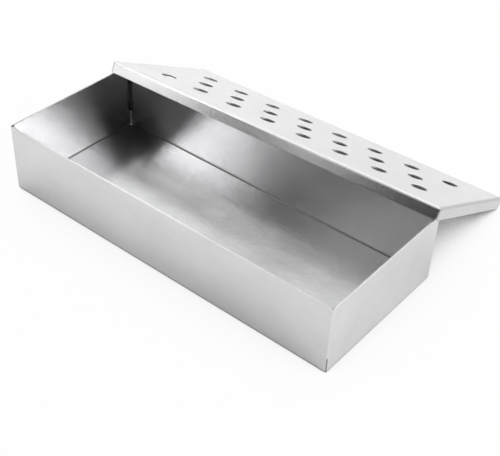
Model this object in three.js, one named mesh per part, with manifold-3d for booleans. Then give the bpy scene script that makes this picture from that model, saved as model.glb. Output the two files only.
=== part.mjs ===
// Grill smoker box of stainless steel sheet: a folded tray that holds wood chips, and a perforated
// lift-off lid. The lid lies as it does while the box is filled. Its near flange lies across the rims
// of the two end walls, its plate leans over the rear rim, and its far flange stands on the table.
// Millimetres, +Z up, +X along the length, origin under the middle of the tray.

import * as THREE from 'three';
import { mergeVertices } from 'three/addons/utils/BufferGeometryUtils.js';
import Module from 'manifold-3d';

const wasm = await Module();
wasm.setup();

// Sheet metal
const sheet = 0.8; // thickness
const bendInside = 0.8; // inside radius of every fold
const seam = 0.4; // open slit between two folded walls
const groundCorner = 1.4; // outside radius of an upright corner after grinding

// Tray
const trayLength = 210;
const trayDepth = 88;
const trayHeight = 40;
const trayRelief = 1; // radius of the relief hole where two folds meet
const trayWallCorner = 1.4; // rounding of a wall's free corners

// Welds in the tray's upright corners
const weldFoot = 9.5; // below this height the seam stays open
const weldSetback = 1.2; // from the weld's upper end to the rim
const weldLeg = 1; // radius of the bead in the corner
const weldTaper = 2.4; // length over which the bead runs out

// Lid
const lidClearance = 0.5; // between the closed lid's flanges and the tray's walls
const lidHeight = 6.5;
const lidRelief = 0.35;
const lidWallCorner = 1.8;

// Perforation of the lid: as many rows as fit, every second one shifted by half a pitch
const holeDiameter = 8.8;
const holePitch = 23.8; // along a row
const holeRowPitch = 21.4;
const holeEdge = 20; // least distance from a hole's middle to the lid's edge

// The lid as it lies
const lidYaw = THREE.MathUtils.degToRad(1.94); // turned in plan, its left end nearer
const restGap = 0.3; // between the lid and each rim that it rests on

// Making
const lap = 2; // folded strips overlap the floor plate by this much
const overrun = 1; // cutters run past the sheet by this much
const bendSteps = 4;
const holeSteps = 16;
const reliefSteps = 16;
const beadSteps = 24;
const beadTaperSteps = 4;

const bendOutside = bendInside + sheet;
const lidLength = trayLength + 2 * (sheet + lidClearance);
const lidDepth = trayDepth + 2 * (sheet + lidClearance);

const steel = new THREE.MeshStandardMaterial({ color: 0xc9cacb, roughness: 0.34, metalness: 1 });
const lidSteel = new THREE.MeshStandardMaterial({ color: 0xd2d3d4, roughness: 0.38, metalness: 1 });
const weldMetal = new THREE.MeshStandardMaterial({ color: 0x8b8780, roughness: 0.5, metalness: 1 });

// A closed geometry as a solid for cutting and joining.
function toSolid(geometry) {
  const bare = geometry.clone();
  bare.deleteAttribute('normal');
  bare.deleteAttribute('uv');
  const merged = mergeVertices(bare);
  return new wasm.Manifold(new wasm.Mesh({
    numProp: 3,
    vertProperties: new Float32Array(merged.attributes.position.array),
    triVerts: new Uint32Array(merged.index.array),
  }));
}

// A solid back as a geometry with flat shading.
function toGeometry(solid) {
  const { vertProperties, triVerts } = solid.getMesh();
  const indexed = new THREE.BufferGeometry();
  indexed.setAttribute('position', new THREE.BufferAttribute(vertProperties, 3));
  indexed.setIndex(new THREE.BufferAttribute(triVerts, 1));
  const geometry = indexed.toNonIndexed();
  geometry.computeVertexNormals();
  return geometry;
}

function extrude(shape, length, curveSegments = bendSteps) {
  return new THREE.ExtrudeGeometry(shape, { depth: length, bevelEnabled: false, curveSegments });
}

// Section of a folded edge, seen along the fold. x runs in from the wall's outer face and y runs up:
// a strip of floor, the bend, and the wall with its raw edge on top.
function foldSection(height) {
  const shape = new THREE.Shape();
  shape.moveTo(bendOutside + lap, 0);
  shape.lineTo(bendOutside, 0);
  shape.absarc(bendOutside, bendOutside, bendOutside, -Math.PI / 2, -Math.PI, true);
  shape.lineTo(0, height);
  shape.lineTo(sheet, height);
  shape.lineTo(sheet, bendOutside);
  shape.absarc(bendOutside, bendOutside, bendInside, Math.PI, 1.5 * Math.PI, false);
  shape.lineTo(bendOutside + lap, sheet);
  return shape;
}

// Plan of a folded edge: both ends are mitred and stand back from the corner by half the seam.
function mitrePlan(length) {
  const end = length / 2 - seam / Math.SQRT2;
  const depth = bendOutside + lap;
  return new THREE.Shape([
    new THREE.Vector2(-end - overrun, -overrun),
    new THREE.Vector2(end + overrun, -overrun),
    new THREE.Vector2(end - depth, depth),
    new THREE.Vector2(depth - end, depth),
  ]);
}

// Elevation of a wall: its two free corners are rounded.
function wallElevation(length, height, radius) {
  const half = length / 2;
  const shape = new THREE.Shape();
  shape.moveTo(-half, -overrun);
  shape.lineTo(half, -overrun);
  shape.absarc(half - radius, height - radius, radius, 0, Math.PI / 2, false);
  shape.absarc(radius - half, height - radius, radius, Math.PI / 2, Math.PI, false);
  return shape;
}

// One folded edge: what its section, its plan and its elevation have in common. It runs along X with
// its outer face at y = 0 and the floor on its +Y side.
function foldedEdge(length, height, cornerRadius) {
  const depth = bendOutside + lap;
  const section = extrude(foldSection(height), length);
  const alongX = new THREE.Matrix4().makeBasis(
    new THREE.Vector3(0, 1, 0),
    new THREE.Vector3(0, 0, 1),
    new THREE.Vector3(1, 0, 0),
  );
  section.applyMatrix4(alongX).translate(-length / 2, 0, 0);
  const plan = extrude(mitrePlan(length), height + 2 * overrun).translate(0, 0, -overrun);
  const elevation = extrude(wallElevation(length, height, cornerRadius), depth + 2 * overrun);
  elevation.rotateX(Math.PI / 2).translate(0, depth + overrun, 0);
  return toSolid(section).intersect(toSolid(plan)).intersect(toSolid(elevation));
}

// What grinding takes off an upright corner at the origin, whose walls run along +X and +Y.
function cornerTrim(height) {
  const shape = new THREE.Shape();
  shape.moveTo(-overrun, -overrun);
  shape.lineTo(groundCorner, -overrun);
  shape.absarc(groundCorner, groundCorner, groundCorner, -Math.PI / 2, -Math.PI, true);
  shape.lineTo(-overrun, groundCorner);
  return extrude(shape, height + 2 * overrun).translate(0, 0, -overrun);
}

// The relief hole at the same corner, drilled through the floor where the two folds meet.
function reliefHole(radius) {
  const height = bendOutside + overrun;
  const hole = new THREE.CylinderGeometry(radius, radius, height, reliefSteps);
  return hole.rotateX(Math.PI / 2).translate(bendOutside, bendOutside, height / 2 - overrun);
}

// The four corners of a pan, each as the placement of a corner at the origin.
function cornerPlacements(length, depth) {
  const corners = [[-length, -depth], [length, -depth], [length, depth], [-length, depth]];
  return corners.map(([x, y], turn) => new THREE.Matrix4()
    .makeRotationZ(turn * Math.PI / 2)
    .setPosition(x / 2, y / 2, 0));
}

// A pan folded from one blank, open upwards: a floor plate, four folded edges with mitred corners,
// ground upright corners, and a relief hole in each corner of the floor.
function foldedPan({ length, depth, height, relief, wallCorner, holes = [] }) {
  const floor = new THREE.Shape([
    new THREE.Vector2(bendOutside - length / 2, bendOutside - depth / 2),
    new THREE.Vector2(length / 2 - bendOutside, bendOutside - depth / 2),
    new THREE.Vector2(length / 2 - bendOutside, depth / 2 - bendOutside),
    new THREE.Vector2(bendOutside - length / 2, depth / 2 - bendOutside),
  ]);
  floor.holes.push(...holes);
  let pan = toSolid(extrude(floor, sheet, holeSteps));

  const longEdge = foldedEdge(length, height, wallCorner);
  const shortEdge = foldedEdge(depth, height, wallCorner);
  for (let turn = 0; turn < 4; turn += 1) {
    const isShort = turn % 2 === 1;
    const placement = new THREE.Matrix4()
      .makeRotationZ(turn * Math.PI / 2)
      .multiply(new THREE.Matrix4().makeTranslation(0, -(isShort ? length : depth) / 2, 0));
    pan = pan.add((isShort ? shortEdge : longEdge).transform(placement.elements));
  }

  for (const placement of cornerPlacements(length, depth)) {
    pan = pan.subtract(toSolid(cornerTrim(height).applyMatrix4(placement)));
    pan = pan.subtract(toSolid(reliefHole(relief).applyMatrix4(placement)));
  }
  return pan;
}

// The weld in one upright corner of the tray, for a corner at the origin whose walls run along +X
// and +Y: a web that fills the seam and is ground flush outside, and a round bead left as laid inside.
function cornerWeld() {
  const bottom = weldFoot;
  const top = trayHeight - weldSetback;
  const profile = [new THREE.Vector2(0, bottom)];
  for (let step = 1; step <= beadTaperSteps; step += 1) {
    const angle = (step / beadTaperSteps) * (Math.PI / 2);
    profile.push(new THREE.Vector2(weldLeg * Math.sin(angle), bottom + weldTaper * (1 - Math.cos(angle))));
  }
  for (let step = beadTaperSteps; step >= 1; step -= 1) {
    const angle = (step / beadTaperSteps) * (Math.PI / 2);
    profile.push(new THREE.Vector2(weldLeg * Math.sin(angle), top - weldTaper * (1 - Math.cos(angle))));
  }
  profile.push(new THREE.Vector2(0, top));
  const spindle = new THREE.LatheGeometry(profile, beadSteps);
  spindle.rotateX(Math.PI / 2).translate(sheet, sheet, 0);

  const inside = new THREE.BoxGeometry(weldLeg + overrun, weldLeg + overrun, trayHeight);
  inside.translate(sheet + (weldLeg + overrun) / 2, sheet + (weldLeg + overrun) / 2, trayHeight / 2);

  const reach = Math.SQRT2 * sheet + seam / 2;
  const web = new THREE.BoxGeometry(reach, seam, top - bottom);
  web.translate(reach / 2, 0, (top + bottom) / 2).rotateZ(Math.PI / 4);

  return toSolid(spindle)
    .intersect(toSolid(inside))
    .add(toSolid(web))
    .subtract(toSolid(cornerTrim(trayHeight)));
}

// The round holes of the lid's plate, row by row and centred on the plate.
function perforation() {
  const rows = 1 + Math.floor((lidDepth - 2 * holeEdge) / holeRowPitch);
  const fullRow = 1 + Math.floor((lidLength - 2 * holeEdge) / holePitch);
  const holes = [];
  for (let row = 0; row < rows; row += 1) {
    const y = (row - (rows - 1) / 2) * holeRowPitch;
    const count = fullRow - (row % 2);
    for (let index = 0; index < count; index += 1) {
      const x = (index - (count - 1) / 2) * holePitch;
      holes.push(new THREE.Path().absarc(x, y, holeDiameter / 2, 0, 2 * Math.PI, true));
    }
  }
  return holes;
}

function addMesh(parent, name, geometry, material) {
  const mesh = new THREE.Mesh(geometry, material);
  mesh.name = name;
  parent.add(mesh);
  return mesh;
}

const smokerBox = new THREE.Group();

// Tray with its welds
const tray = foldedPan({
  length: trayLength,
  depth: trayDepth,
  height: trayHeight,
  relief: trayRelief,
  wallCorner: trayWallCorner,
});
addMesh(smokerBox, 'tray', toGeometry(tray), steel);

const weldNames = ['front_left', 'front_right', 'rear_right', 'rear_left'];
cornerPlacements(trayLength, trayDepth).forEach((placement, index) => {
  const weld = cornerWeld().transform(placement.elements);
  addMesh(smokerBox, `corner_weld_${weldNames[index]}`, toGeometry(weld), weldMetal);
});

// Lid: a shallow pan turned over. Its own origin is the middle of the near flange's inner low edge,
// the line that rests on the end walls, with the plate reaching away along +Y.
const lid = foldedPan({
  length: lidLength,
  depth: lidDepth,
  height: lidHeight,
  relief: lidRelief,
  wallCorner: lidWallCorner,
  holes: perforation(),
});
const lidGeometry = toGeometry(lid).rotateX(Math.PI).translate(0, lidDepth / 2 - sheet, lidHeight);

// Seating: the far flange's low edge reaches the table, the plate's underside clears the rear rim at
// the tray's left end, and the right end flange clears the right wall at the rear corner.
const lineHeight = trayHeight + restGap;
const tilt = Math.asin(lineHeight / (lidDepth - sheet));
const plateAboveLine = lidHeight - sheet;
const rimReach = (plateAboveLine - restGap + restGap * Math.cos(tilt)) / Math.sin(tilt);
const along = new THREE.Vector2(Math.cos(lidYaw), Math.sin(lidYaw));
const across = new THREE.Vector2(-Math.sin(lidYaw), Math.cos(lidYaw));
const rearLeft = new THREE.Vector2(-trayLength / 2, trayDepth / 2);
const rearRight = new THREE.Vector2(trayLength / 2, trayDepth / 2);
const linePlace = along.clone().multiplyScalar(rearRight.dot(along) - (lidLength / 2 - sheet - restGap))
  .add(across.clone().multiplyScalar(rearLeft.dot(across) - rimReach));

const lidTurn = new THREE.Group();
lidTurn.position.set(linePlace.x, linePlace.y, lineHeight);
lidTurn.rotation.z = lidYaw;
smokerBox.add(lidTurn);
const lidMesh = addMesh(lidTurn, 'lid', lidGeometry, lidSteel);
lidMesh.rotation.x = -tilt;

export default smokerBox;
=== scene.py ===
import math

import bmesh
import bpy
from mathutils import Matrix, Vector


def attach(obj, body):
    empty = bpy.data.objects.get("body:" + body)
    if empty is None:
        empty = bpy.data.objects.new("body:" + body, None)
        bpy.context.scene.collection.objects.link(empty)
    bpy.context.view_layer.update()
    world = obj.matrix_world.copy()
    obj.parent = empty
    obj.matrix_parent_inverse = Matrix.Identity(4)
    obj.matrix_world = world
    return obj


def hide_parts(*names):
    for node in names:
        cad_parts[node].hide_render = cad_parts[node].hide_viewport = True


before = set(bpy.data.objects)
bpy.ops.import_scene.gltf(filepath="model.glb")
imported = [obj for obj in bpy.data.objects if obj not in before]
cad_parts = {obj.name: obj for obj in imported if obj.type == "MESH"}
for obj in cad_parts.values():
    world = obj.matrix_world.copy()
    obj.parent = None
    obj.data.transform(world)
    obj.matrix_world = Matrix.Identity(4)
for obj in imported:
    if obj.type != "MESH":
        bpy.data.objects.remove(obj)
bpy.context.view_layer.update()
print("frame loaded:", ", ".join(sorted(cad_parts)))

# Pieces are drawn in millimetres and brought to metres when their mesh is made.
millimetre = 0.001
toMetres = Matrix.Scale(millimetre, 4)


def addNode(tree, kind, settings=None, inputs=None):
    node = tree.nodes.new(kind)
    for name, value in (settings or {}).items():
        setattr(node, name, value)
    for name, value in (inputs or {}).items():
        socket = node.inputs[name]
        if isinstance(value, bpy.types.NodeSocket):
            tree.links.new(value, socket)
        else:
            socket.default_value = value
    return node


def linearColour(code):
    channels = [int(code[i:i + 2], 16) / 255 for i in (1, 3, 5)]
    return [c / 12.92 if c <= 0.04045 else ((c + 0.055) / 1.055) ** 2.4 for c in channels] + [1.0]


# Sockets of sums and products, for geometry and shader trees alike.
def calculator(tree):
    def calc(operation, *values):
        return addNode(tree, "ShaderNodeMath", {"operation": operation},
                       dict(enumerate(values))).outputs["Value"]
    return calc


# The named inputs of a geometry tree, and its end.
def treeInputs(tree, geometry, values):
    interface = tree.interface
    interface.new_socket(geometry, in_out="INPUT", socket_type="NodeSocketGeometry")
    for name, value in values.items():
        kind = "NodeSocketInt" if isinstance(value, int) else "NodeSocketFloat"
        interface.new_socket(name, in_out="INPUT", socket_type=kind)
    interface.new_socket("Material", in_out="INPUT", socket_type="NodeSocketMaterial")
    interface.new_socket("Result", in_out="OUTPUT", socket_type="NodeSocketGeometry")
    return addNode(tree, "NodeGroupInput").outputs


def finishTree(tree, geometry, material):
    real = addNode(tree, "GeometryNodeRealizeInstances", {}, {"Geometry": geometry}).outputs["Geometry"]
    real = addNode(tree, "GeometryNodeSetMaterial", {}, {"Geometry": real, "Material": material})
    addNode(tree, "NodeGroupOutput", {}, {"Result": real.outputs["Geometry"]})


# Runs a tree of nodes on a mesh and returns the result as a plain mesh.
def runNodes(mesh, tree, values):
    carrier = placeObject("carrier", mesh)
    modifier = carrier.modifiers.new("nodes", "NODES")
    modifier.node_group = tree
    for socket in tree.interface.items_tree:
        if socket.in_out == "INPUT" and socket.name in values:
            modifier[socket.identifier] = values[socket.name]
    depsgraph = bpy.context.evaluated_depsgraph_get()
    depsgraph.update()
    result = bpy.data.meshes.new_from_object(carrier.evaluated_get(depsgraph))
    carrier.modifiers.remove(modifier)
    bpy.data.objects.remove(carrier)
    return result


def blend(tree, factor, first, second):
    return addNode(tree, "ShaderNodeMix", {"data_type": "RGBA"}, {
        "Factor": factor, "A": first, "B": second}).outputs["Result"]


def noise(tree, place, size, detail):
    return addNode(tree, "ShaderNodeTexNoise", {}, {
        "Vector": place, "Scale": 1 / size, "Detail": detail}).outputs["Fac"]


def newMaterial(name):
    material = bpy.data.materials.new(name)
    material.use_nodes = True
    material.node_tree.nodes.clear()
    return material, material.node_tree, addNode(material.node_tree, "ShaderNodeOutputMaterial")


def millimetres(tree):
    place = addNode(tree, "ShaderNodeTexCoord").outputs["Object"]
    return addNode(tree, "ShaderNodeVectorMath", {"operation": "SCALE"}, {
        0: place, "Scale": 1 / millimetre}).outputs["Vector"]


# A noise lies mostly between 0.3 and 0.7: this takes it to a range of its own.
def spread(tree, value, low, high, fromLow=0.3, fromHigh=0.7):
    return addNode(tree, "ShaderNodeMapRange", {}, {
        "Value": value, "From Min": fromLow, "From Max": fromHigh,
        "To Min": low, "To Max": high}).outputs["Result"]


def placeObject(name, mesh):
    piece = bpy.data.objects.new(name, mesh)
    bpy.context.scene.collection.objects.link(piece)
    return piece


# Folded sheet: what the tray and the lid share, in millimetres.

sheet = {
    "thickness": 0.8,
    "bendInside": 0.8,
    "seam": 0.05,  # open slit between two folded walls
    "groundCorner": 1.4,
    "edgeBreak": 0.13,  # a sheared edge is never quite sharp
    "bendSteps": 8,
    "wallStart": 0.05,  # from the bend up to the wall's first row
    "cornerAngles": (0.35, 0.7),  # of the rows in the rounding of a wall's top corner, in radians
    "reliefMargin": 0.02,  # radians to either side of where the relief hole ends
    "cell": 5.0,  # spacing of the vertices
    "endZone": 3.2,  # where a wall's columns close up towards its mitred end
    "endShares": (0.35, 0.68, 0.74, 0.80, 0.86, 0.91, 0.96, 1.0),
    "reliefSteps": 6,
    "merge": 0.002,  # places nearer than this are one
    "tolerance": 0.001,
    "sharpAngle": math.radians(40),
}
sheet["bendOutside"] = sheet["bendInside"] + sheet["thickness"]

tray = {
    "length": 210.0,
    "depth": 88.0,
    "height": 40.0,
    "relief": 0.7,  # radius of the hole where two folds meet
    "wallCorner": 1.4,  # radius of a wall's upper corners
}

weldBead = {
    "Foot": 9.5,  # the seam is open below
    "Top": 38.8,
    "Leg": 1.0,
    "Taper": 2.4,  # length over which the bead runs out
    "Ripple Pitch": 1.1,
    "Ripple Depth": 0.16,  # share of the leg
    "Ripple Bow": 0.35,  # the middle of a ripple stands this much higher than its ends
    "Unevenness": 0.22,  # share of the leg
    "Seed": 0,
}

lidClearance = 0.5
lid = {
    "length": tray["length"] + 2 * (sheet["thickness"] + lidClearance),
    "depth": tray["depth"] + 2 * (sheet["thickness"] + lidClearance),
    "height": 6.5,
    "relief": 0.35,
    "wallCorner": 1.8,
}


# Rows of a fold and its wall as (inward, up): outside, rim and inside, with as many rows on both sides.
def foldRows(pan):
    outerRadius, innerRadius = sheet["bendOutside"], sheet["bendInside"]
    thickness, edge = sheet["thickness"], sheet["edgeBreak"]
    height, corner = pan["height"], pan["wallCorner"]
    angles = {0.5 * math.pi * step / sheet["bendSteps"] for step in range(sheet["bendSteps"] + 1)}
    for radius in (outerRadius, innerRadius):  # rows on either side of where the relief hole ends
        if pan["relief"] < radius:
            middle = math.asin(pan["relief"] / radius)
            angles |= {middle - sheet["reliefMargin"], middle + sheet["reliefMargin"]}
    outer = [(outerRadius * (1 - math.sin(a)), outerRadius * (1 - math.cos(a))) for a in sorted(angles)]
    inner = [(outerRadius - innerRadius * math.sin(a), outerRadius - innerRadius * math.cos(a))
             for a in sorted(angles)]
    low, high = outerRadius + sheet["wallStart"], height - corner
    count = max(1, round((high - low) / sheet["cell"]))
    levels = [low + (high - low) * step / count for step in range(count + 1)]
    levels += [high + corner * math.sin(a) for a in sheet["cornerAngles"]] + [height - edge]
    outer += [(0.0, z) for z in levels]
    inner += [(thickness, z) for z in levels]
    slant = edge * math.sqrt(0.5)
    rim = [(edge - slant, height - edge + slant), (edge, height),
           (thickness - edge, height), (thickness - edge + slant, height - edge + slant)]
    return outer, rim, inner


# Where a row ends, measured along the wall from its middle.
def rowEnd(pan, half, inward, up):
    end = half - sheet["seam"] / math.sqrt(2) - inward
    if inward < sheet["groundCorner"]:  # the ground corner meets the mitre at less than the row's own depth
        radius = sheet["groundCorner"]
        turn = math.pi / 4 - math.asin(sheet["seam"] / (2 * radius))
        if inward < radius * (1 - math.cos(turn)):
            end = half - radius + radius * math.sin(turn)
    bend, relief = sheet["bendOutside"], pan["relief"]
    if up <= bend + sheet["tolerance"] and inward > bend - relief:
        end = min(end, half - bend - math.sqrt(max(0.0, relief ** 2 - (bend - inward) ** 2)))
    corner = pan["wallCorner"]
    over = up - (pan["height"] - corner)
    if over > 0:
        end = min(end, half - corner + math.sqrt(max(0.0, corner ** 2 - over ** 2)))
    return end


# One wall with its fold. Returns the outside and inside vertices of the fold's foot, left to right.
def addWall(bm, pan, turn):
    isShort = turn % 2 == 1
    half = (pan["depth"] if isShort else pan["length"]) / 2
    reach = (pan["length"] if isShort else pan["depth"]) / 2
    place = Matrix.Rotation(turn * math.pi / 2, 4, "Z") @ Matrix.Translation((0, -reach, 0))
    panel = bm.faces.layers.int["panel"]
    outer, rim, inner = foldRows(pan)
    zone = half - sheet["endZone"]
    cells = round(2 * zone / sheet["cell"])
    middle = [zone * (2 * step / cells - 1) for step in range(cells + 1)]

    def addRow(inward, up):
        end = rowEnd(pan, half, inward, up)
        tail = [zone + (end - zone) * share for share in sheet["endShares"]]
        row = []
        for along in [-s for s in reversed(tail)] + middle + tail:
            depth = inward
            over = abs(along) - (half - sheet["groundCorner"])
            if over > 0:
                radius = sheet["groundCorner"]
                depth = max(depth, radius - math.sqrt(radius ** 2 - min(over, radius) ** 2))
            row.append(bm.verts.new(place @ Vector((along, depth, up))))
        return row

    rows = [addRow(*point) for point in outer + rim + inner[::-1]]
    for low, high in zip(rows, rows[1:]):
        for i in range(len(low) - 1):
            face = bm.faces.new((low[i], low[i + 1], high[i + 1], high[i]))
            face[panel] = turn + 1
    count = len(outer)
    for side in (0, -1):  # the mitred ends
        outside = [row[side] for row in rows[:count]]
        inside = [row[side] for row in rows[::-1][:count]]
        top = [row[side] for row in rows[count:count + len(rim)]]
        ends = [(outside[i], outside[i + 1], inside[i + 1], inside[i]) for i in range(count - 1)]
        ends.append((outside[-1], *top, inside[-1]))
        for corners in ends:
            face = bm.faces.new(corners if side == 0 else corners[::-1])
            face[panel] = turn + 1
            face.normal_flip()
    return rows[0], rows[-1]


# The walls of a pan and the rims of its floor: two closed loops of vertices, outside and inside.
def addWalls(bm, pan):
    feet = [addWall(bm, pan, turn) for turn in range(4)]
    bend, relief = sheet["bendOutside"], pan["relief"]
    corners = [(1, -1), (1, 1), (-1, 1), (-1, -1)]
    loops = []
    for side, height in ((0, 0.0), (1, sheet["thickness"])):
        loop = []
        for turn in range(4):
            loop += feet[turn][side]
            x, y = corners[turn]
            centre = Vector((x * (pan["length"] / 2 - bend), y * (pan["depth"] / 2 - bend), height))
            start = math.pi + turn * math.pi / 2
            for step in range(1, sheet["reliefSteps"]):
                angle = start - 0.5 * math.pi * step / sheet["reliefSteps"]
                arc = Vector((math.cos(angle), math.sin(angle), 0)) * relief
                loop.append(bm.verts.new(centre + arc))
        loops.append(loop)
    panel = bm.faces.layers.int["panel"]
    first = 0
    for turn in range(4):  # the walls of the relief holes
        first += len(feet[turn][0])
        for i in range(first - 1, first + sheet["reliefSteps"] - 1):
            k = (i + 1) % len(loops[0])
            face = bm.faces.new((loops[0][i], loops[1][i], loops[1][k], loops[0][k]))
            face[panel] = 0
        first += sheet["reliefSteps"] - 1
    return loops


# Where the bending has dulled the skin, and how far the folds carry a painted highlight and the end walls
# painted shade, as shares.
bending = {
    "top": 0.97,  # of the outside radius: where the bend gives way to the wall
    "dulled": 0.75,  # of the outside radius: up to here the grain is broken up
    # painted highlight along the folds: how much on the outside, and where on the inside
    "highlightOutside": 0.35,
    "highlightInside": (0.15, 0.85),  # of the quarter turn
    "shadedWall": 0.25,  # how much painted shade an end wall gets, where its fold gets it fully
}
longWalls, endWalls = (1, 3), (2, 4)  # panels of the blank, the floor being 0


# How much painted highlight a place on a fold gets, its colour lightened towards white: a little outside,
# more in the middle inside.
def whitening(inward, up):
    bend = sheet["bendOutside"]
    if up > bend * bending["top"]:
        return 0.0
    if math.hypot(bend - inward, bend - up) > (bend + sheet["bendInside"]) / 2:
        return bending["highlightOutside"]
    turned = math.atan2(bend - inward, bend - up) / (0.5 * math.pi)
    start, end = bending["highlightInside"]
    return 1.0 if start < turned < end else 0.0


# Writes, on each face corner, where the place lay on the flat blank and which way crosses the grain, and how
# far it is a dulled fold, a fold with a painted highlight, an end with painted shade and a wall. The blank
# was rolled along its length, so the grain runs along X and up the end walls.
def markSheet(mesh, pan, turned):
    sides = [value.value for value in mesh.attributes["panel"].data]
    bend = sheet["bendOutside"]
    places, ways, folds, whites, ends, walls = [], [], [], [], [], []
    for polygon in mesh.polygons:
        side = sides[polygon.index]
        isEnd, isLong = side in endWalls, side in longWalls
        sign = 1 if side in (2, 3) else -1  # the walls at +X and +Y
        for index in polygon.vertices:
            x, y, z = mesh.vertices[index].co
            inward = pan["length"] / 2 - abs(x) if isEnd else pan["depth"] / 2 - abs(y)
            if isEnd:
                x = sign * (pan["length"] / 2 + z)
            elif isLong:
                y = sign * (pan["depth"] / 2 + z)
            places += (x, y, 0.0)
            ways.extend(turned @ Vector((0, 0, 1) if isLong else (0, 1, 0)))
            folds.append(1.0 if side and z < bend * bending["dulled"] else 0.0)
            whites.append(whitening(inward, z) if side else 0.0)
            # Painted shade on the end walls' folds, and a little of it up the walls.
            rubbed = 1.0 if z < bend * bending["top"] else bending["shadedWall"]
            ends.append(rubbed if isEnd else 0.0)
            walls.append(1.0 if side else 0.0)
    for name, values in (("blankPlace", places), ("acrossGrain", ways)):
        mesh.attributes.new(name, "FLOAT_VECTOR", "CORNER").data.foreach_set("vector", values)
    for name, values in (("fold", folds), ("whitened", whites), ("endRub", ends), ("wall", walls)):
        mesh.attributes.new(name, "FLOAT", "CORNER").data.foreach_set("value", values)


# Turns a folded pan into its object, marked for its material, with the sheared edges kept sharp.
def finishSheet(name, bm, pan, placement, material):
    bmesh.ops.remove_doubles(bm, verts=bm.verts, dist=sheet["merge"])
    bmesh.ops.recalc_face_normals(bm, faces=bm.faces)
    for edge in bm.edges:
        edge.smooth = len(edge.link_faces) == 2 and edge.calc_face_angle() < sheet["sharpAngle"]
    for face in bm.faces:
        face.smooth = True
    mesh = bpy.data.meshes.new(name)
    bm.to_mesh(mesh)
    bm.free()
    markSheet(mesh, pan, placement.to_3x3())
    mesh.transform(toMetres @ placement)
    mesh.materials.append(material)
    piece = placeObject(name, mesh)
    weighted = piece.modifiers.new("weightedNormals", "WEIGHTED_NORMAL")
    weighted.keep_sharp = True
    return piece


# What has darkened the tray's sheet: scale and soot from the welding, inside round the upright corners.
# Painted shade: a dark line in the open foot of each seam, and a darker band along the foot of the outside.
def addTrayMarks(tree, marks, baseColour):
    calc = calculator(tree)
    place = millimetres(tree)
    at = addNode(tree, "ShaderNodeSeparateXYZ", {}, {"Vector": place}).outputs
    uneven = noise(tree, place, marks["unevenSize"], 3.0)
    x = calc("SUBTRACT", tray["length"] / 2, calc("ABSOLUTE", at["X"]))
    y = calc("SUBTRACT", tray["depth"] / 2, calc("ABSOLUTE", at["Y"]))
    foot = weldBead["Foot"]

    def upwards(reach, low, high):
        return spread(tree, at["Z"], low, high, *reach)

    inX, inY = calc("SUBTRACT", x, sheet["thickness"]), calc("SUBTRACT", y, sheet["thickness"])
    distance = calc("SQRT", calc("MULTIPLY_ADD", inX, inX, calc("MULTIPLY", inY, inY)))
    reach = calc("MULTIPLY_ADD", calc("SUBTRACT", uneven, 0.5), marks["uneven"], distance)
    inside = calc("GREATER_THAN", calc("MINIMUM", inX, inY), -marks["scaleDepth"])
    rise = [foot + height for height in marks["scaleRise"]]
    above = calc("MULTIPLY", inside, upwards(rise, 0.0, marks["scale"]))
    scale = calc("MULTIPLY", above, spread(tree, reach, 1.0, 0.0, *marks["scaleReach"]))

    # Painted shade: a dark line in the open foot of each seam, below the weld.
    beside = calc("ABSOLUTE", calc("SUBTRACT", x, y))
    atCorner = calc("LESS_THAN", calc("MAXIMUM", x, y), marks["seamShadeDepth"])
    below = calc("MULTIPLY", atCorner, upwards((foot - marks["seamShadeFade"], foot), marks["dust"], 0.0))
    dust = calc("MULTIPLY", below, spread(tree, beside, 1.0, 0.0, *marks["seamShadeReach"]))

    # Painted shade: a darker band along the foot of the outside, where it stands on the floor.
    outside = calc("LESS_THAN", calc("MINIMUM", x, y), marks["paintedShadeDepth"])
    rubbed = calc("MULTIPLY", outside, upwards(marks["paintedShadeReach"], marks["rub"], 0.0))
    amount = calc("MAXIMUM", scale, calc("MAXIMUM", dust, rubbed))
    return blend(tree, amount, baseColour, linearColour(marks["colour"]))
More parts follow.
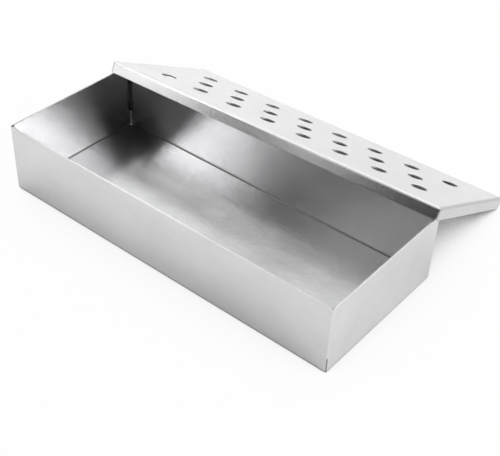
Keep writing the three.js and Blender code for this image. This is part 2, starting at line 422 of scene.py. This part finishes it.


# Stainless sheet, cold rolled, annealed and pickled (2B): a dull mirror with a fine grain along the rolling
# direction, mottled at a millimetre or two and cloudy at a few centimetres, with folds that the bending has
# dulled and a painted highlight along the folds.
def makeColdRolledStainless(name, look):
    material, tree, output = newMaterial(name)
    calc = calculator(tree)

    def attribute(name, kind="Fac"):
        return addNode(tree, "ShaderNodeAttribute", {"attribute_name": name}).outputs[kind]

    place = attribute("blankPlace", "Vector")
    fold, wall = attribute("fold"), attribute("wall")
    way = addNode(tree, "ShaderNodeVectorTransform",
                  {"vector_type": "VECTOR", "convert_from": "OBJECT", "convert_to": "WORLD"},
                  {"Vector": attribute("acrossGrain", "Vector")}).outputs["Vector"]

    # Every pattern is set by the size of its marks in millimetres, along and across the grain, and is
    # shifted to a place of its own in the noise.
    def pattern(kind, detail):
        size, shift = look[kind + "Size"], look["shifts"][kind]
        scaled = addNode(tree, "ShaderNodeVectorMath", {"operation": "MULTIPLY_ADD"},
                         {0: place, 1: (1 / size[0], 1 / size[1], 0.0), 2: (shift, shift, shift)})
        return noise(tree, scaled.outputs["Vector"], 1.0, detail)

    grain, cloud, bow = pattern("grain", 2.0), pattern("cloud", 2.0), pattern("bow", 1.0)
    mottle = pattern("mottle", look["mottleDetail"])

    shade = calc("MULTIPLY_ADD", calc("SUBTRACT", cloud, 0.5), look["cloudShade"], calc(
        "MULTIPLY_ADD", calc("SUBTRACT", grain, 0.5), look["grainShade"], calc(
            "MULTIPLY_ADD", calc("SUBTRACT", mottle, 0.5), look["mottleShade"], 0.5)))
    baseColour = blend(tree, shade, linearColour(look["darkColour"]), linearColour(look["colour"]))
    # Painted highlight along the folds: their colour is lightened towards white.
    white = calc("MULTIPLY", attribute("whitened"), look["foldHighlightLevel"])
    baseColour = blend(tree, white, baseColour, (1.0, 1.0, 1.0, 1.0))
    # Painted shade along the end folds: their colour is darkened.
    if "endRub" in look:
        rub = calc("MULTIPLY", attribute("endRub"), look["endRub"])
        baseColour = blend(tree, rub, baseColour, linearColour(look["paintedShadeColour"]))
    # Weld scale, and painted shade at the seams' foot and along the outside's foot.
    if "marks" in look:
        baseColour = addTrayMarks(tree, look["marks"], baseColour)

    gloss = calc("ADD", spread(tree, mottle, *look["roughness"]),
                 spread(tree, cloud, -look["cloudRoughness"], look["cloudRoughness"]))
    gloss = calc("MULTIPLY_ADD", fold, look["foldRoughness"], gloss)
    anisotropic = calc("MULTIPLY_ADD", fold, look["foldAnisotropic"] - look["anisotropic"],
                       look["anisotropic"])

    mottleHeight = calc("MULTIPLY_ADD", wall, (look["wallMottle"] - 1) * look["mottleHeight"],
                        look["mottleHeight"])
    height = calc("MULTIPLY_ADD", grain, look["grainHeight"], calc(
        "MULTIPLY_ADD", mottle, mottleHeight, calc("MULTIPLY", bow, look["bowHeight"])))
    bump = addNode(tree, "ShaderNodeBump", {}, {
        "Distance": millimetre, "Height": height}).outputs["Normal"]

    steel = addNode(tree, "ShaderNodeBsdfPrincipled", {}, {
        "Base Color": baseColour, "Metallic": 1.0, "Roughness": gloss,
        "Anisotropic": anisotropic, "Normal": bump, "Tangent": way})
    tree.links.new(steel.outputs["BSDF"], output.inputs["Surface"])
    return material


sheetLook = {  # sizes and heights in millimetres
    "grainSize": (28.0, 0.5),
    "grainHeight": 0.0004,
    "grainShade": 0.5,
    "mottleSize": (1.9, 1.0),
    "mottleDetail": 3.0,
    "mottleShade": 0.9,
    "cloudSize": (30.0, 16.0),
    "cloudShade": 0.9,
    "bowSize": (70.0, 45.0),
    "shifts": {"grain": 3.1, "mottle": 7.7, "cloud": 11.3, "bow": 17.9},
    "roughness": (0.225, 0.255),
    "cloudRoughness": 0.012,
    "anisotropic": 0.98,
    "foldRoughness": 0.18,  # on top of the sheet's own
    "foldAnisotropic": 0.3,
    # how far the painted highlight lightens the folds towards white
    "foldHighlightLevel": 0.9,
}
traySteelLook = dict(sheetLook, **{
    "colour": "#DADADB",
    "darkColour": "#C6C6C7",
    "mottleHeight": 0.04,
    "wallMottle": 0.5,  # share of it on the walls
    "bowHeight": 0.10,
    "marks": {
        # of the weld scale, and of the painted shade at the seams and the outside's foot
        "colour": "#4C4A48",
        "scale": 0.8,
        "scaleReach": (1.0, 2.6),  # full and gone, from the inner corner
        "scaleRise": (-1.0, 2.5),  # none and full, from the foot of the weld
        "scaleDepth": 0.3,  # into the sheet
        "uneven": 1.6,
        "unevenSize": 3.0,
        # painted shade in the open foot of each seam
        "dust": 0.85,
        "seamShadeReach": (0.22, 0.5),  # across the seam
        "seamShadeFade": 0.6,  # below the foot of the weld
        "seamShadeDepth": 1.2,  # from the outer corner
        # painted shade along the foot of the outside
        "rub": 0.8,
        "paintedShadeReach": (1.1, 1.9),  # up from the ground
        "paintedShadeDepth": 1.4,  # in from the outside
    },
})
lidSteelLook = dict(sheetLook, **{
    "colour": "#DDDDDE",
    "darkColour": "#CACACB",
    "mottleHeight": 0.012,
    "wallMottle": 3.0,
    "bowHeight": 0.05,
    # painted shade along the lid's end folds, and its colour
    "endRub": 0.42,
    "paintedShadeColour": "#6E6D6B",
})

traySteel = makeColdRolledStainless("cold_rolled_stainless_tray", traySteelLook)
lidSteel = makeColdRolledStainless("cold_rolled_stainless_lid", lidSteelLook)
print("steel made")


# The floor's two faces, cut into cells in line with the walls' columns.
def fillFloor(bm, pan, loops):
    panel = bm.faces.layers.int["panel"]
    outside = bm.faces.new(loops[0][::-1])
    inside = bm.faces.new(loops[1])
    outside[panel] = inside[panel] = 0
    for axis, size in ((0, pan["length"]), (1, pan["depth"])):
        zone = size / 2 - sheet["endZone"]
        cells = round(2 * zone / sheet["cell"])
        for step in range(cells + 1):
            point, normal = Vector((0, 0, 0)), Vector((0, 0, 0))
            point[axis] = zone * (2 * step / cells - 1)
            normal[axis] = 1
            floor = [face for face in bm.faces if face[panel] == 0]
            edges = {edge for face in floor for edge in face.edges}
            ends = {vertex for edge in edges for vertex in edge.verts}
            bmesh.ops.bisect_plane(bm, geom=floor + list(edges) + list(ends), dist=sheet["merge"],
                                   plane_co=point, plane_no=normal)


bm = bmesh.new()
bm.faces.layers.int.new("panel")
fillFloor(bm, tray, addWalls(bm, tray))
trayPiece = finishSheet("folded_tray", bm, tray, Matrix.Identity(4), traySteel)
print("tray made:", len(trayPiece.data.polygons), "faces")


# The welds in the tray's upright corners, in millimetres.

beadShape = {
    "arcSteps": 8,  # of the section's quarter circle
    "sink": -0.04,  # how far the section reaches into the sheet, in legs
    "ringsPerRipple": 6.0,
    "rippleMean": 0.6,  # of a ripple's height, which goes from 0 to 1
    "unevenPitch": 0.45,  # noise steps to a millimetre
    "seedShift": 13.7,
    "bowSoftening": 0.02,  # keeps the bow of a ripple from dividing by nothing
    "merge": 0.004,
}
groundWeb = {
    "endRounding": ((0.0, 0.26), (0.25, 0.10), (0.6, 0.0)),  # up from an end, and back from the corner
    "arcSteps": 4,
}
laidLook = {  # sizes and heights in millimetres
    "colours": ("#4A4A4B", "#7E7E80"),
    "roughness": (0.34, 0.48),
    "size": (1.6, 1.6, 1.6),
    "grainSize": 0.35,
    "height": 0.04,
}
groundLook = {
    "colours": ("#C6C6C6", "#D6D6D6"),
    "roughness": (0.26, 0.36),
    "size": (5.0, 5.0, 0.3),
    "height": 0.01,
}


# Stainless weld metal in two looks. As laid it is finely rippled and dull, with a grey oxide. Ground
# flush it is bright, with the marks of the disc running round the corner.
def makeWeldMetal(name, look):
    material, tree, output = newMaterial(name)
    place = millimetres(tree)
    scaled = addNode(tree, "ShaderNodeVectorMath", {"operation": "DIVIDE"}, {0: place, 1: look["size"]})
    marks = noise(tree, scaled.outputs["Vector"], 1.0, 3.0)
    relief = noise(tree, place, look["grainSize"], 2.0) if "grainSize" in look else marks
    colour = blend(tree, spread(tree, marks, 0.0, 1.0), *map(linearColour, look["colours"]))
    bump = addNode(tree, "ShaderNodeBump", {}, {
        "Distance": look["height"] * millimetre, "Height": relief}).outputs["Normal"]
    metal = addNode(tree, "ShaderNodeBsdfPrincipled", {}, {
        "Base Color": colour, "Metallic": 1.0, "Roughness": spread(tree, marks, *look["roughness"]),
        "Normal": bump})
    tree.links.new(metal.outputs["BSDF"], output.inputs["Surface"])
    return material


# Sweeps a section of unit leg up the corner as a bead that tapers at both ends and has ripples.
def makeBeadTree():
    tree = bpy.data.node_groups.new("weld_bead", "GeometryNodeTree")
    inputs = treeInputs(tree, "Section", weldBead)
    calc = calculator(tree)
    length = calc("SUBTRACT", inputs["Top"], inputs["Foot"])
    start = addNode(tree, "ShaderNodeCombineXYZ", {}, {
        "X": sheet["thickness"], "Y": sheet["thickness"], "Z": inputs["Foot"]}).outputs["Vector"]
    end = addNode(tree, "ShaderNodeCombineXYZ", {}, {
        "X": sheet["thickness"], "Y": sheet["thickness"], "Z": inputs["Top"]}).outputs["Vector"]
    line = addNode(tree, "GeometryNodeCurvePrimitiveLine", {}, {"Start": start, "End": end}).outputs["Curve"]
    line = addNode(tree, "GeometryNodeResampleCurve", {"mode": "LENGTH"}, {
        "Curve": line,
        "Length": calc("DIVIDE", inputs["Ripple Pitch"], beadShape["ringsPerRipple"])}).outputs["Curve"]
    here = addNode(tree, "GeometryNodeSplineParameter").outputs["Length"]
    nearEnd = calc("MINIMUM", calc("DIVIDE", calc(
        "MINIMUM", here, calc("SUBTRACT", length, here)), inputs["Taper"]), 1.0)
    short = calc("SUBTRACT", 1.0, nearEnd)
    taper = calc("SQRT", calc("SUBTRACT", 1.0, calc("MULTIPLY", short, short)))
    ripple = calc("ABSOLUTE", calc("SINE", calc("DIVIDE", calc(
        "MULTIPLY", here, math.pi), inputs["Ripple Pitch"])))
    drift = addNode(tree, "ShaderNodeTexNoise", {"noise_dimensions": "1D"}, {
        "W": calc("MULTIPLY_ADD", inputs["Seed"], beadShape["seedShift"],
                  calc("MULTIPLY", here, beadShape["unevenPitch"])),
        "Scale": 1.0, "Detail": 2.0}).outputs["Fac"]
    uneven = calc("MULTIPLY", calc("SUBTRACT", drift, 0.5), inputs["Unevenness"])
    swell = calc("ADD", 1.0, calc("MULTIPLY_ADD", calc("SUBTRACT", ripple, beadShape["rippleMean"]),
                                  inputs["Ripple Depth"], uneven))
    size = calc("MULTIPLY", inputs["Leg"], calc("MULTIPLY", taper, swell))
    section = addNode(tree, "GeometryNodeMeshToCurve", {}, {"Mesh": inputs["Section"]}).outputs["Curve"]
    bead = addNode(tree, "GeometryNodeCurveToMesh", {}, {
        "Curve": line, "Profile Curve": section, "Scale": size, "Fill Caps": True}).outputs["Mesh"]
    place = addNode(tree, "ShaderNodeSeparateXYZ", {}, {
        "Vector": addNode(tree, "GeometryNodeInputPosition").outputs["Position"]}).outputs
    x = calc("SUBTRACT", place["X"], sheet["thickness"])
    y = calc("SUBTRACT", place["Y"], sheet["thickness"])
    middle = calc("DIVIDE", calc("MULTIPLY", calc("MULTIPLY", x, y), 2.0), calc("ADD", calc(
        "MULTIPLY_ADD", x, x, calc("MULTIPLY", y, y)), beadShape["bowSoftening"]))
    lift = addNode(tree, "ShaderNodeCombineXYZ", {}, {
        "Z": calc("MULTIPLY", middle, inputs["Ripple Bow"])}).outputs["Vector"]
    bead = addNode(tree, "GeometryNodeSetPosition", {}, {
        "Geometry": bead, "Offset": lift}).outputs["Geometry"]
    bead = addNode(tree, "GeometryNodeMergeByDistance", {}, {
        "Geometry": bead, "Distance": beadShape["merge"]}).outputs["Geometry"]
    finishTree(tree, bead, inputs["Material"])
    return tree


# The web that fills the seam, ground flush with the tray's rounded corner.
def addWeb(bm):
    radius, thickness = sheet["groundCorner"], sheet["thickness"]
    outward = 1.25 * math.pi  # the diagonal that points out of the corner
    reach = math.asin(sheet["seam"] / (2 * radius))  # half of what the seam takes of the ground arc
    inner = thickness + sheet["seam"] / math.sqrt(2)
    foot, top = weldBead["Foot"], weldBead["Top"]
    rounding = groundWeb["endRounding"]
    levels = [(foot + up, back) for up, back in rounding]
    levels += [(top - up, back) for up, back in reversed(rounding)]
    rows = []
    for z, back in levels:
        row = []
        for step in range(groundWeb["arcSteps"] + 1):
            angle = outward + reach * (1 - 2 * step / groundWeb["arcSteps"])
            distance = radius - back
            row.append((radius + distance * math.cos(angle), radius + distance * math.sin(angle), z))
        row += [(thickness, inner, z), (thickness, thickness, z), (inner, thickness, z)]
        rows.append([bm.verts.new(point) for point in row])
    count = len(rows[0])
    faces = [bm.faces.new(rows[0][::-1]), bm.faces.new(rows[-1])]
    for low, high in zip(rows, rows[1:]):
        for i in range(count):
            k = (i + 1) % count
            faces.append(bm.faces.new((low[i], low[k], high[k], high[i])))
    bmesh.ops.recalc_face_normals(bm, faces=faces)
    for face in faces:
        face.material_index = 1


def makeWelds():
    materials = [makeWeldMetal("stainless_weld_metal_as_laid", laidLook),
                 makeWeldMetal("stainless_weld_metal_ground", groundLook)]
    tree = makeBeadTree()
    sink, steps = beadShape["sink"], beadShape["arcSteps"]
    section = [(sink, sink, 0), (1, sink, 0)]
    section += [(math.cos(a), math.sin(a), 0)
                for a in (0.5 * math.pi * step / steps for step in range(steps + 1))]
    section += [(sink, 1, 0)]
    pieces = []
    corners = {"front_left": (-1, -1), "front_right": (1, -1), "rear_right": (1, 1), "rear_left": (-1, 1)}
    for turn, (name, (x, y)) in enumerate(corners.items()):
        outline = bpy.data.meshes.new("weld_section")
        outline.from_pydata(section, [(i, (i + 1) % len(section)) for i in range(len(section))], [])
        bead = runNodes(outline, tree, dict(weldBead, Seed=turn + 1, Material=materials[0]))
        bm = bmesh.new()
        bm.from_mesh(bead)
        for face in bm.faces:
            face.material_index = 0
            face.smooth = True
        addWeb(bm)
        mesh = bpy.data.meshes.new("weld_" + name)
        bm.to_mesh(mesh)
        bm.free()
        for material in materials:
            mesh.materials.append(material)
        place = Matrix.Translation((x * tray["length"] / 2, y * tray["depth"] / 2, 0))
        mesh.transform(toMetres @ place @ Matrix.Rotation(turn * math.pi / 2, 4, "Z"))
        pieces.append((placeObject("weld_" + name, mesh), "corner_weld_" + name))
    return pieces


weldPieces = makeWelds()
print("welds made:", [len(piece.data.polygons) for piece, _ in weldPieces])


perforation = {
    "Hole Diameter": 8.8,
    "Hole Pitch": 23.8,
    "Row Pitch": 21.4,
    "Rows": 3,
    "Holes In A Full Row": 8,
    "Thickness": sheet["thickness"],
    "Rolled Edge": 0.12,  # where the punch went in
    "Lower Edge": 0.05,
}
holeSteps = 48
rolledShares = ((0.62, 0.08), (0.29, 0.29), (0.08, 0.62))  # outward and down, in the rolled edge's radius

lidPose = {
    "yaw": math.radians(1.94),  # turned in plan, its left end nearer
    "restGap": 0.3,
    "settled": (0.0008, 0.0, -0.005),  # a hair aside, so that the rounder bends stay in the solid's box
}


# Fills an outline with a plate that has rows of punched holes, every second row shifted by half a pitch.
def makePerforation():
    tree = bpy.data.node_groups.new("perforated_plate", "GeometryNodeTree")
    inputs = treeInputs(tree, "Outline", perforation)
    calc = calculator(tree)
    index = addNode(tree, "GeometryNodeInputIndex").outputs["Index"]
    row = calc("FLOOR", calc("DIVIDE", index, inputs["Holes In A Full Row"]))
    column = calc("MODULO", index, inputs["Holes In A Full Row"])
    shifted = calc("MODULO", row, 2.0)
    lastColumn = calc("SUBTRACT", inputs["Holes In A Full Row"], 1.0)
    x = calc("MULTIPLY", inputs["Hole Pitch"], calc("ADD", calc("MULTIPLY", shifted, 0.5), calc(
        "SUBTRACT", column, calc("MULTIPLY", lastColumn, 0.5))))
    y = calc("MULTIPLY", inputs["Row Pitch"], calc("SUBTRACT", row, calc(
        "MULTIPLY", calc("SUBTRACT", inputs["Rows"], 1.0), 0.5)))
    where = addNode(tree, "ShaderNodeCombineXYZ", {}, {"X": x, "Y": y}).outputs["Vector"]
    points = addNode(tree, "GeometryNodePoints", {}, {
        "Count": calc("MULTIPLY", inputs["Rows"], inputs["Holes In A Full Row"]),
        "Position": where}).outputs["Points"]
    spare = calc("MULTIPLY", shifted, calc("COMPARE", column, lastColumn, 0.5))
    points = addNode(tree, "GeometryNodeDeleteGeometry", {"domain": "POINT"}, {
        "Geometry": points, "Selection": spare}).outputs["Geometry"]
    radius = calc("MULTIPLY", inputs["Hole Diameter"], 0.5)
    outline = addNode(tree, "GeometryNodeMeshToCurve", {}, {"Mesh": inputs["Outline"]}).outputs["Curve"]

    def ring(grow):
        return addNode(tree, "GeometryNodeCurvePrimitiveCircle", {"mode": "RADIUS"}, {
            "Resolution": holeSteps, "Radius": calc("ADD", radius, grow)}).outputs["Curve"]

    def scatter(geometry):
        placed = addNode(tree, "GeometryNodeInstanceOnPoints", {}, {"Points": points, "Instance": geometry})
        return addNode(tree, "GeometryNodeRealizeInstances", {}, {
            "Geometry": placed.outputs["Instances"]}).outputs["Geometry"]

    def join(*parts):
        node = addNode(tree, "GeometryNodeJoinGeometry")
        for part in reversed(parts):
            tree.links.new(part, node.inputs["Geometry"])
        return node.outputs["Geometry"]

    def raised(geometry, height):
        offset = addNode(tree, "ShaderNodeCombineXYZ", {}, {"Z": height}).outputs["Vector"]
        return addNode(tree, "GeometryNodeTransform", {}, {
            "Geometry": geometry, "Translation": offset}).outputs["Geometry"]

    def skin(grow):
        return addNode(tree, "GeometryNodeFillCurve", {"mode": "TRIANGLES"}, {
            "Curve": join(outline, scatter(ring(grow)))}).outputs["Mesh"]

    outside = addNode(tree, "GeometryNodeFlipFaces", {}, {"Mesh": skin(inputs["Rolled Edge"])})
    inside = raised(skin(inputs["Lower Edge"]), inputs["Thickness"])

    # The wall of a hole is a section swept round a circle, from the rolled edge to the lower one. On the
    # circle the section's own Y points down, so its rise is taken negative.
    roll, lower, thickness = inputs["Rolled Edge"], inputs["Lower Edge"], inputs["Thickness"]
    levels = [(roll, 0.0)]
    levels += [(calc("MULTIPLY", roll, out), calc("MULTIPLY", roll, down)) for out, down in rolledShares]
    levels += [(0.0, roll), (0.0, calc("SUBTRACT", thickness, lower)), (lower, thickness)]
    line = addNode(tree, "GeometryNodeMeshLine", {"mode": "OFFSET"}, {"Count": len(levels)})
    lineIndex = addNode(tree, "GeometryNodeInputIndex").outputs["Index"]
    growth, rise = 0.0, 0.0
    for number, (grow, height) in enumerate(levels):
        here = calc("COMPARE", lineIndex, float(number), 0.5)
        growth = calc("MULTIPLY_ADD", here, grow, growth)
        rise = calc("MULTIPLY_ADD", here, height, rise)
    section = addNode(tree, "GeometryNodeSetPosition", {}, {
        "Geometry": line.outputs["Mesh"],
        "Position": addNode(tree, "ShaderNodeCombineXYZ", {}, {
            "X": growth, "Y": calc("MULTIPLY", rise, -1.0)}).outputs["Vector"]})
    sectionCurve = addNode(tree, "GeometryNodeMeshToCurve", {}, {
        "Mesh": section.outputs["Geometry"]}).outputs["Curve"]
    bore = addNode(tree, "GeometryNodeCurveToMesh", {}, {
        "Curve": ring(0.0), "Profile Curve": sectionCurve}).outputs["Mesh"]

    finishTree(tree, join(outside.outputs["Mesh"], inside, scatter(bore)), inputs["Material"])
    return tree


bm = bmesh.new()
bm.faces.layers.int.new("panel")
loops = addWalls(bm, lid)
outline = bpy.data.meshes.new("lid_outline")
count = len(loops[0])
outline.from_pydata([tuple(v.co) for v in loops[0]], [(i, (i + 1) % count) for i in range(count)], [])
plate = runNodes(outline, makePerforation(), dict(perforation, Material=lidSteel))
print("perforated plate:", len(plate.polygons), "faces,",
      [round(max(v.co[i] for v in plate.vertices), 3) for i in range(3)])
bm.from_mesh(plate)

# The lid lies on its back edge: turned over, with the line that rests on the end walls as its own origin.
lineHeight = tray["height"] + lidPose["restGap"]
tilt = math.asin(lineHeight / (lid["depth"] - sheet["thickness"]))
plateAboveLine = lid["height"] - sheet["thickness"]
rimReach = (plateAboveLine - lidPose["restGap"] + lidPose["restGap"] * math.cos(tilt)) / math.sin(tilt)
along = Vector((math.cos(lidPose["yaw"]), math.sin(lidPose["yaw"])))
across = Vector((-along.y, along.x))
rearLeft = Vector((-tray["length"] / 2, tray["depth"] / 2))
rearRight = Vector((tray["length"] / 2, tray["depth"] / 2))
linePlace = (along * (rearRight.dot(along) - (lid["length"] / 2 - sheet["thickness"] - lidPose["restGap"]))
             + across * (rearLeft.dot(across) - rimReach))
placement = (
    Matrix.Translation((linePlace.x, linePlace.y, lineHeight))
    @ Matrix.Translation(lidPose["settled"])
    @ Matrix.Rotation(lidPose["yaw"], 4, "Z")
    @ Matrix.Rotation(-tilt, 4, "X")
    @ Matrix.Translation((0, lid["depth"] / 2 - sheet["thickness"], lid["height"]))
    @ Matrix.Rotation(math.pi, 4, "X")
)
lidPiece = finishSheet("perforated_lid", bm, lid, placement, lidSteel)
print("lid made:", len(lidPiece.data.polygons), "faces")


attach(trayPiece, "tray")
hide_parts("tray")
for piece, node in weldPieces:
    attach(piece, "tray")
    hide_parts(node)
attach(lidPiece, "lid")
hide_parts("lid")


# Stage, light and camera.

# Softboxes, in degrees round from straight in front (positive to the right), degrees up, metres away,
# degrees turned about their own axis, width and height in metres, and how bright their face is.
softboxes = {
    "key_softbox": {
        "azimuth": -50.9, "elevation": 43.2, "distance": 4.0, "roll": 36.8, "size": (0.41, 1.49),
        "level": 7.6},
    "rear_softbox": {
        "azimuth": 109.4, "elevation": 34.9, "distance": 4.0, "roll": -4.3, "size": (1.50, 1.41),
        "level": 9.0},
}

# What else the steel mirrors: lit walls and cards of the studio, in degrees as above. Their edges fade
# over some degrees, and lean by so many degrees for each degree up.
panels = {
    "low_left": {"centre": (-35.6, 3.7), "half": (5.1, 7.6), "fade": 4.8, "lean": -0.30, "level": 3.25},
    "strip": {"centre": (-28.4, 35.6), "half": (2.6, 18.4), "fade": 1.4, "lean": -0.10, "level": 2.05},
    "rear_left": {"centre": (-128.9, 38.3), "half": (6.9, 6.0), "fade": 6.6, "lean": -0.33, "level": 2.35},
    "left_top": {"centre": (-95.9, 52.7), "half": (23.6, 8.6), "fade": 4.0, "lean": -0.38, "level": 2.74},
    "rear_wall": {"centre": (-170.8, 31.6), "half": (34.9, 45.5), "fade": 10.0, "lean": 0.04, "level": 0.77},
    "rear_low": {"centre": (-157.2, -1.7), "half": (37.8, 7.1), "fade": 24.4, "lean": 0.03, "level": 1.96},
    "right_low": {"centre": (106.9, 3.1), "half": (19.7, 11.2), "fade": 3.0, "lean": -0.30, "level": 3.17},
    "ceiling": {"centre": (-171.7, 71.8), "half": (61.7, 21.5), "fade": 10.5, "lean": -0.19, "level": 1.92},
    "right_fill": {"centre": (104.0, 61.0), "half": (24.0, 10.0), "fade": 14.0, "lean": 0.0, "level": 0.75},
}
fadeUp = 0.7  # share of the fade that an upper or lower edge has


def makeStudio():
    world = bpy.data.worlds.new("studio")
    world.use_nodes = True
    tree = world.node_tree
    tree.nodes.clear()
    output = addNode(tree, "ShaderNodeOutputWorld")
    calc = calculator(tree)
    way = addNode(tree, "ShaderNodeSeparateXYZ", {}, {
        "Vector": addNode(tree, "ShaderNodeTexCoord").outputs["Generated"]}).outputs
    azimuth = calc("DEGREES", calc("ARCTAN2", way["X"], calc("MULTIPLY", way["Y"], -1.0)))
    elevation = calc("DEGREES", calc("ARCSINE", way["Z"]))

    def window(offset, half, fade):
        return addNode(tree, "ShaderNodeMapRange", {"interpolation_type": "SMOOTHSTEP"}, {
            "Value": calc("ABSOLUTE", offset), "From Min": half - fade / 2, "From Max": half + fade / 2,
            "To Min": 1.0, "To Max": 0.0}).outputs["Result"]

    level = 0.0
    for panel in panels.values():
        above = calc("SUBTRACT", elevation, panel["centre"][1])
        leaning = calc("MULTIPLY_ADD", above, -panel["lean"], calc("SUBTRACT", azimuth, panel["centre"][0]))
        beside = calc("WRAP", leaning, 180.0, -180.0)
        inside = calc("MULTIPLY", window(beside, panel["half"][0], panel["fade"]),
                      window(above, panel["half"][1], fadeUp * panel["fade"]))
        level = calc("MULTIPLY_ADD", inside, panel["level"], level)
    isCamera = addNode(tree, "ShaderNodeLightPath").outputs["Is Camera Ray"]
    level = addNode(tree, "ShaderNodeMix", {"data_type": "FLOAT"}, {
        "Factor": isCamera, "A": level, "B": 1.0}).outputs["Result"]
    background = addNode(tree, "ShaderNodeBackground", {}, {
        "Color": (1, 1, 1, 1), "Strength": level})
    tree.links.new(background.outputs["Background"], output.inputs["Surface"])
    bpy.context.scene.world = world


paper = {
    "colour": "#EDEDED",  # where lamps and cards light it
    "seenGlow": 0.97,  # share of plain white in what the camera sees, the rest being lit paper
    "mirroredGlow": 0.41,  # strength of the plain white that the steel mirrors, on top of the lit paper
    "halfSize": 12.0,  # metres, as are the next two
    "level": -0.0001,  # a hair under the tray
    "shadowReach": 0.12,
    "shadowSamples": 12,
    # Pairs of how open to the sky a place is and how much of the white it glows with.
    "glowByOpenness": ((0.0, 0.02), (0.12, 0.10), (0.30, 0.78), (0.5, 0.97), (0.7, 1.0)),
}


# Seamless white paper: white by itself in the open, and left dark where the object stands over it.
def makeFloor():
    material, tree, output = newMaterial("seamless_white_paper")
    calc = calculator(tree)
    openness = addNode(tree, "ShaderNodeAmbientOcclusion", {"samples": paper["shadowSamples"]}, {
        "Distance": paper["shadowReach"]}).outputs["AO"]
    ramp = addNode(tree, "ShaderNodeValToRGB", {}, {"Fac": openness})
    stops = ramp.color_ramp.elements
    for number, (place, level) in enumerate(paper["glowByOpenness"]):
        stop = stops[number] if number < 2 else stops.new(place)
        stop.position, stop.color = place, (level, level, level, 1.0)
    path = addNode(tree, "ShaderNodeLightPath").outputs
    strength = calc("MULTIPLY", ramp.outputs["Color"], calc(
        "MULTIPLY_ADD", path["Is Camera Ray"], paper["seenGlow"], calc(
            "MULTIPLY", path["Is Glossy Ray"], paper["mirroredGlow"])))
    glow = addNode(tree, "ShaderNodeEmission", {}, {"Color": (1, 1, 1, 1), "Strength": strength})
    lit = addNode(tree, "ShaderNodeBsdfDiffuse", {}, {"Color": linearColour(paper["colour"])})
    black = addNode(tree, "ShaderNodeBsdfDiffuse", {}, {"Color": (0, 0, 0, 1)})
    paperShare = addNode(tree, "ShaderNodeMixShader", {}, {
        "Fac": calc("MULTIPLY", path["Is Camera Ray"], paper["seenGlow"]),
        1: lit.outputs["BSDF"], 2: black.outputs["BSDF"]}).outputs["Shader"]
    both = addNode(tree, "ShaderNodeAddShader", {}, {0: paperShare, 1: glow.outputs["Emission"]})
    tree.links.new(both.outputs["Shader"], output.inputs["Surface"])
    mesh = bpy.data.meshes.new("floor")
    size, level = paper["halfSize"], paper["level"]
    mesh.from_pydata([(-size, -size, level), (size, -size, level), (size, size, level),
                      (-size, size, level)], [], [(0, 1, 2, 3)])
    mesh.materials.append(material)
    floor = placeObject("paper_floor", mesh)


# The axes of something that looks back from a place so many degrees round and up, turned about its axis.
def lookBack(azimuth, elevation, roll):
    turn, rise, roll = (math.radians(angle) for angle in (azimuth, elevation, roll))
    back = Vector((math.sin(turn) * math.cos(rise), -math.cos(turn) * math.cos(rise), math.sin(rise)))
    right = Vector((0, 0, 1)).cross(back).normalized()
    up = back.cross(right)
    axisX = math.cos(roll) * right + math.sin(roll) * up
    axisY = -math.sin(roll) * right + math.cos(roll) * up
    return back, Matrix((axisX, axisY, back)).transposed().to_4x4()


def makeLamps():
    for name, box in softboxes.items():
        lamp = bpy.data.lights.new(name, "AREA")
        lamp.shape = "RECTANGLE"
        lamp.size, lamp.size_y = box["size"]
        lamp.energy = box["level"] * math.pi * lamp.size * lamp.size_y
        back, rotation = lookBack(box["azimuth"], box["elevation"], box["roll"])
        placed = placeObject(name, lamp)
        placed.matrix_world = Matrix.Translation(back * box["distance"]) @ rotation
        placed.visible_camera = False


view = {
    "place": (0.2686, -0.3138, 0.3355),
    "azimuth": 37.97,
    "elevation": 38.89,
    "roll": 2.55,
    "focalPixels": 1008.73,
    "imageWidth": 500,
    "sensorWidth": 36.0,
    "clip": (0.01, 50.0),
}


def makeCamera():
    camera = bpy.data.cameras.new("camera")
    camera.sensor_width = view["sensorWidth"]
    camera.lens = view["focalPixels"] * camera.sensor_width / view["imageWidth"]
    camera.clip_start, camera.clip_end = view["clip"]
    placed = placeObject("camera", camera)
    back, rotation = lookBack(view["azimuth"], view["elevation"], view["roll"])
    placed.matrix_world = Matrix.Translation(view["place"]) @ rotation
    bpy.context.scene.camera = placed


makeStudio()
makeFloor()
makeLamps()
makeCamera()
bpy.context.scene.view_settings.view_transform = "Standard"
print("stage, lamps and camera made")
